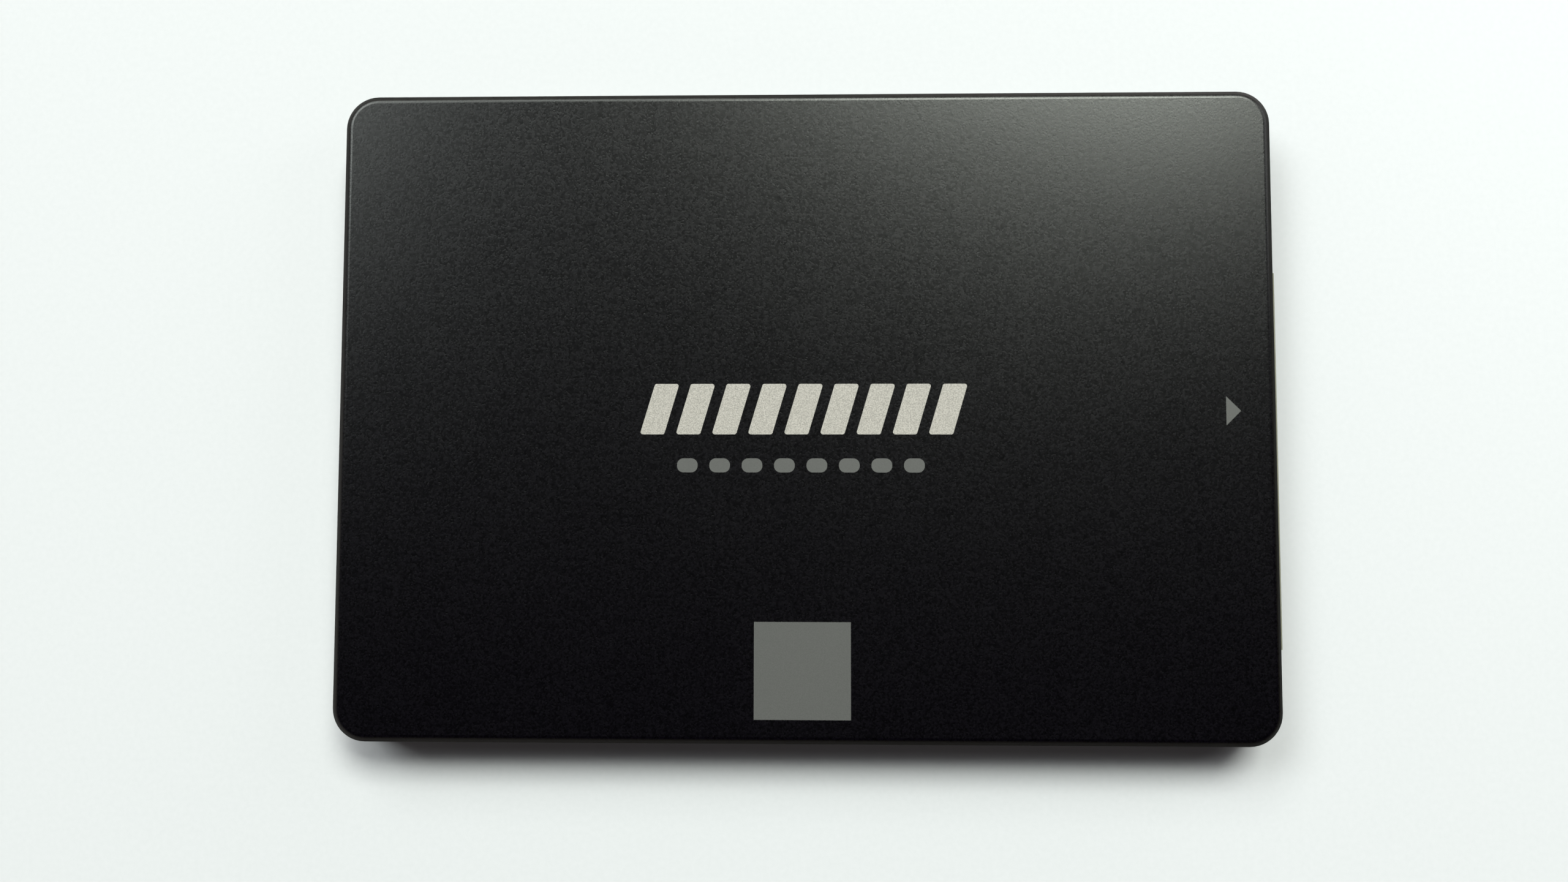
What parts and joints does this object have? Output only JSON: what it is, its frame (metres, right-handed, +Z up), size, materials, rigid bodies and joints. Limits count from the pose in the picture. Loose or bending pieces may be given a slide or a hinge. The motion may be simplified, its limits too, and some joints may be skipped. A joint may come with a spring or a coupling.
{
  "type": "solid state drive",
  "caption": "Slim 2.5-inch solid state drive: a flat black case with rounded corners, tapped mounting holes and a recessed data and power plug at one end.",
  "frame": {"origin": "centre of the underside of the whole drive, connector lip included", "axes": "+Z up through the printed cover, +X towards the connector, +Y across the drive"},
  "size_m": [0.1002, 0.0698, 0.0068],
  "materials": {
    "cover_coating": "fine matte black coating on aluminium",
    "tray_coating": "matte black coating on aluminium",
    "label_sheet": "semi-gloss label sheet, no text",
    "board_laminate": "solder mask over glass-fibre laminate",
    "connector_plastic": "moulded black plastic, paler and worn on its lip",
    "gold_plate": "gold-plated copper alloy",
    "tin_plate": "tin plate",
    "bright_steel": "plated steel",
    "dark_steel": "blackened steel",
    "chip_resin": "moulded epoxy",
    "pad_silicone": "soft silicone pad",
    "ferrite": "matte ferrite",
    "capacitor_resin": "moulded epoxy with a polarity band",
    "capacitor_ceramic": "fired ceramic",
    "resistor_film": "glazed film on ceramic",
    "fuse_ceramic": "white ceramic"
  },
  "bodies": {
    "root": {"base_tray": "tray_coating", "board_screws": "bright_steel", "boot_memory_chip": "chip_resin", "boot_memory_leads": "tin_plate", "bottom_label": "label_sheet", "bulk_capacitor_terminals": "tin_plate", "bulk_capacitors": "capacitor_resin", "case_screws": "dark_steel", "ceramic_capacitor_ends": "tin_plate", "ceramic_capacitors": "capacitor_ceramic", "circuit_board": "board_laminate", "connector_hold_downs": "tin_plate", "connector_housing": "connector_plastic", "controller_chip": "chip_resin", "controller_pad": "pad_silicone", "crystal_can": "bright_steel", "flash_chip_1": "chip_resin", "flash_chip_2": "chip_resin", "flash_chip_3": "chip_resin", "flash_chip_4": "chip_resin", "flash_pads_lower": "pad_silicone", "flash_pads_upper": "pad_silicone", "fuse": "fuse_ceramic", "fuse_ends": "tin_plate", "inductor_cores": "ferrite", "inductor_terminals": "tin_plate", "power_chip": "chip_resin", "power_contacts": "gold_plate", "regulator_chips": "chip_resin", "regulator_leads": "tin_plate", "resistor_ends": "tin_plate", "resistors": "resistor_film", "signal_contacts": "gold_plate", "top_cover": "cover_coating", "working_memory_chip": "chip_resin"}
  },
  "joints": []
}
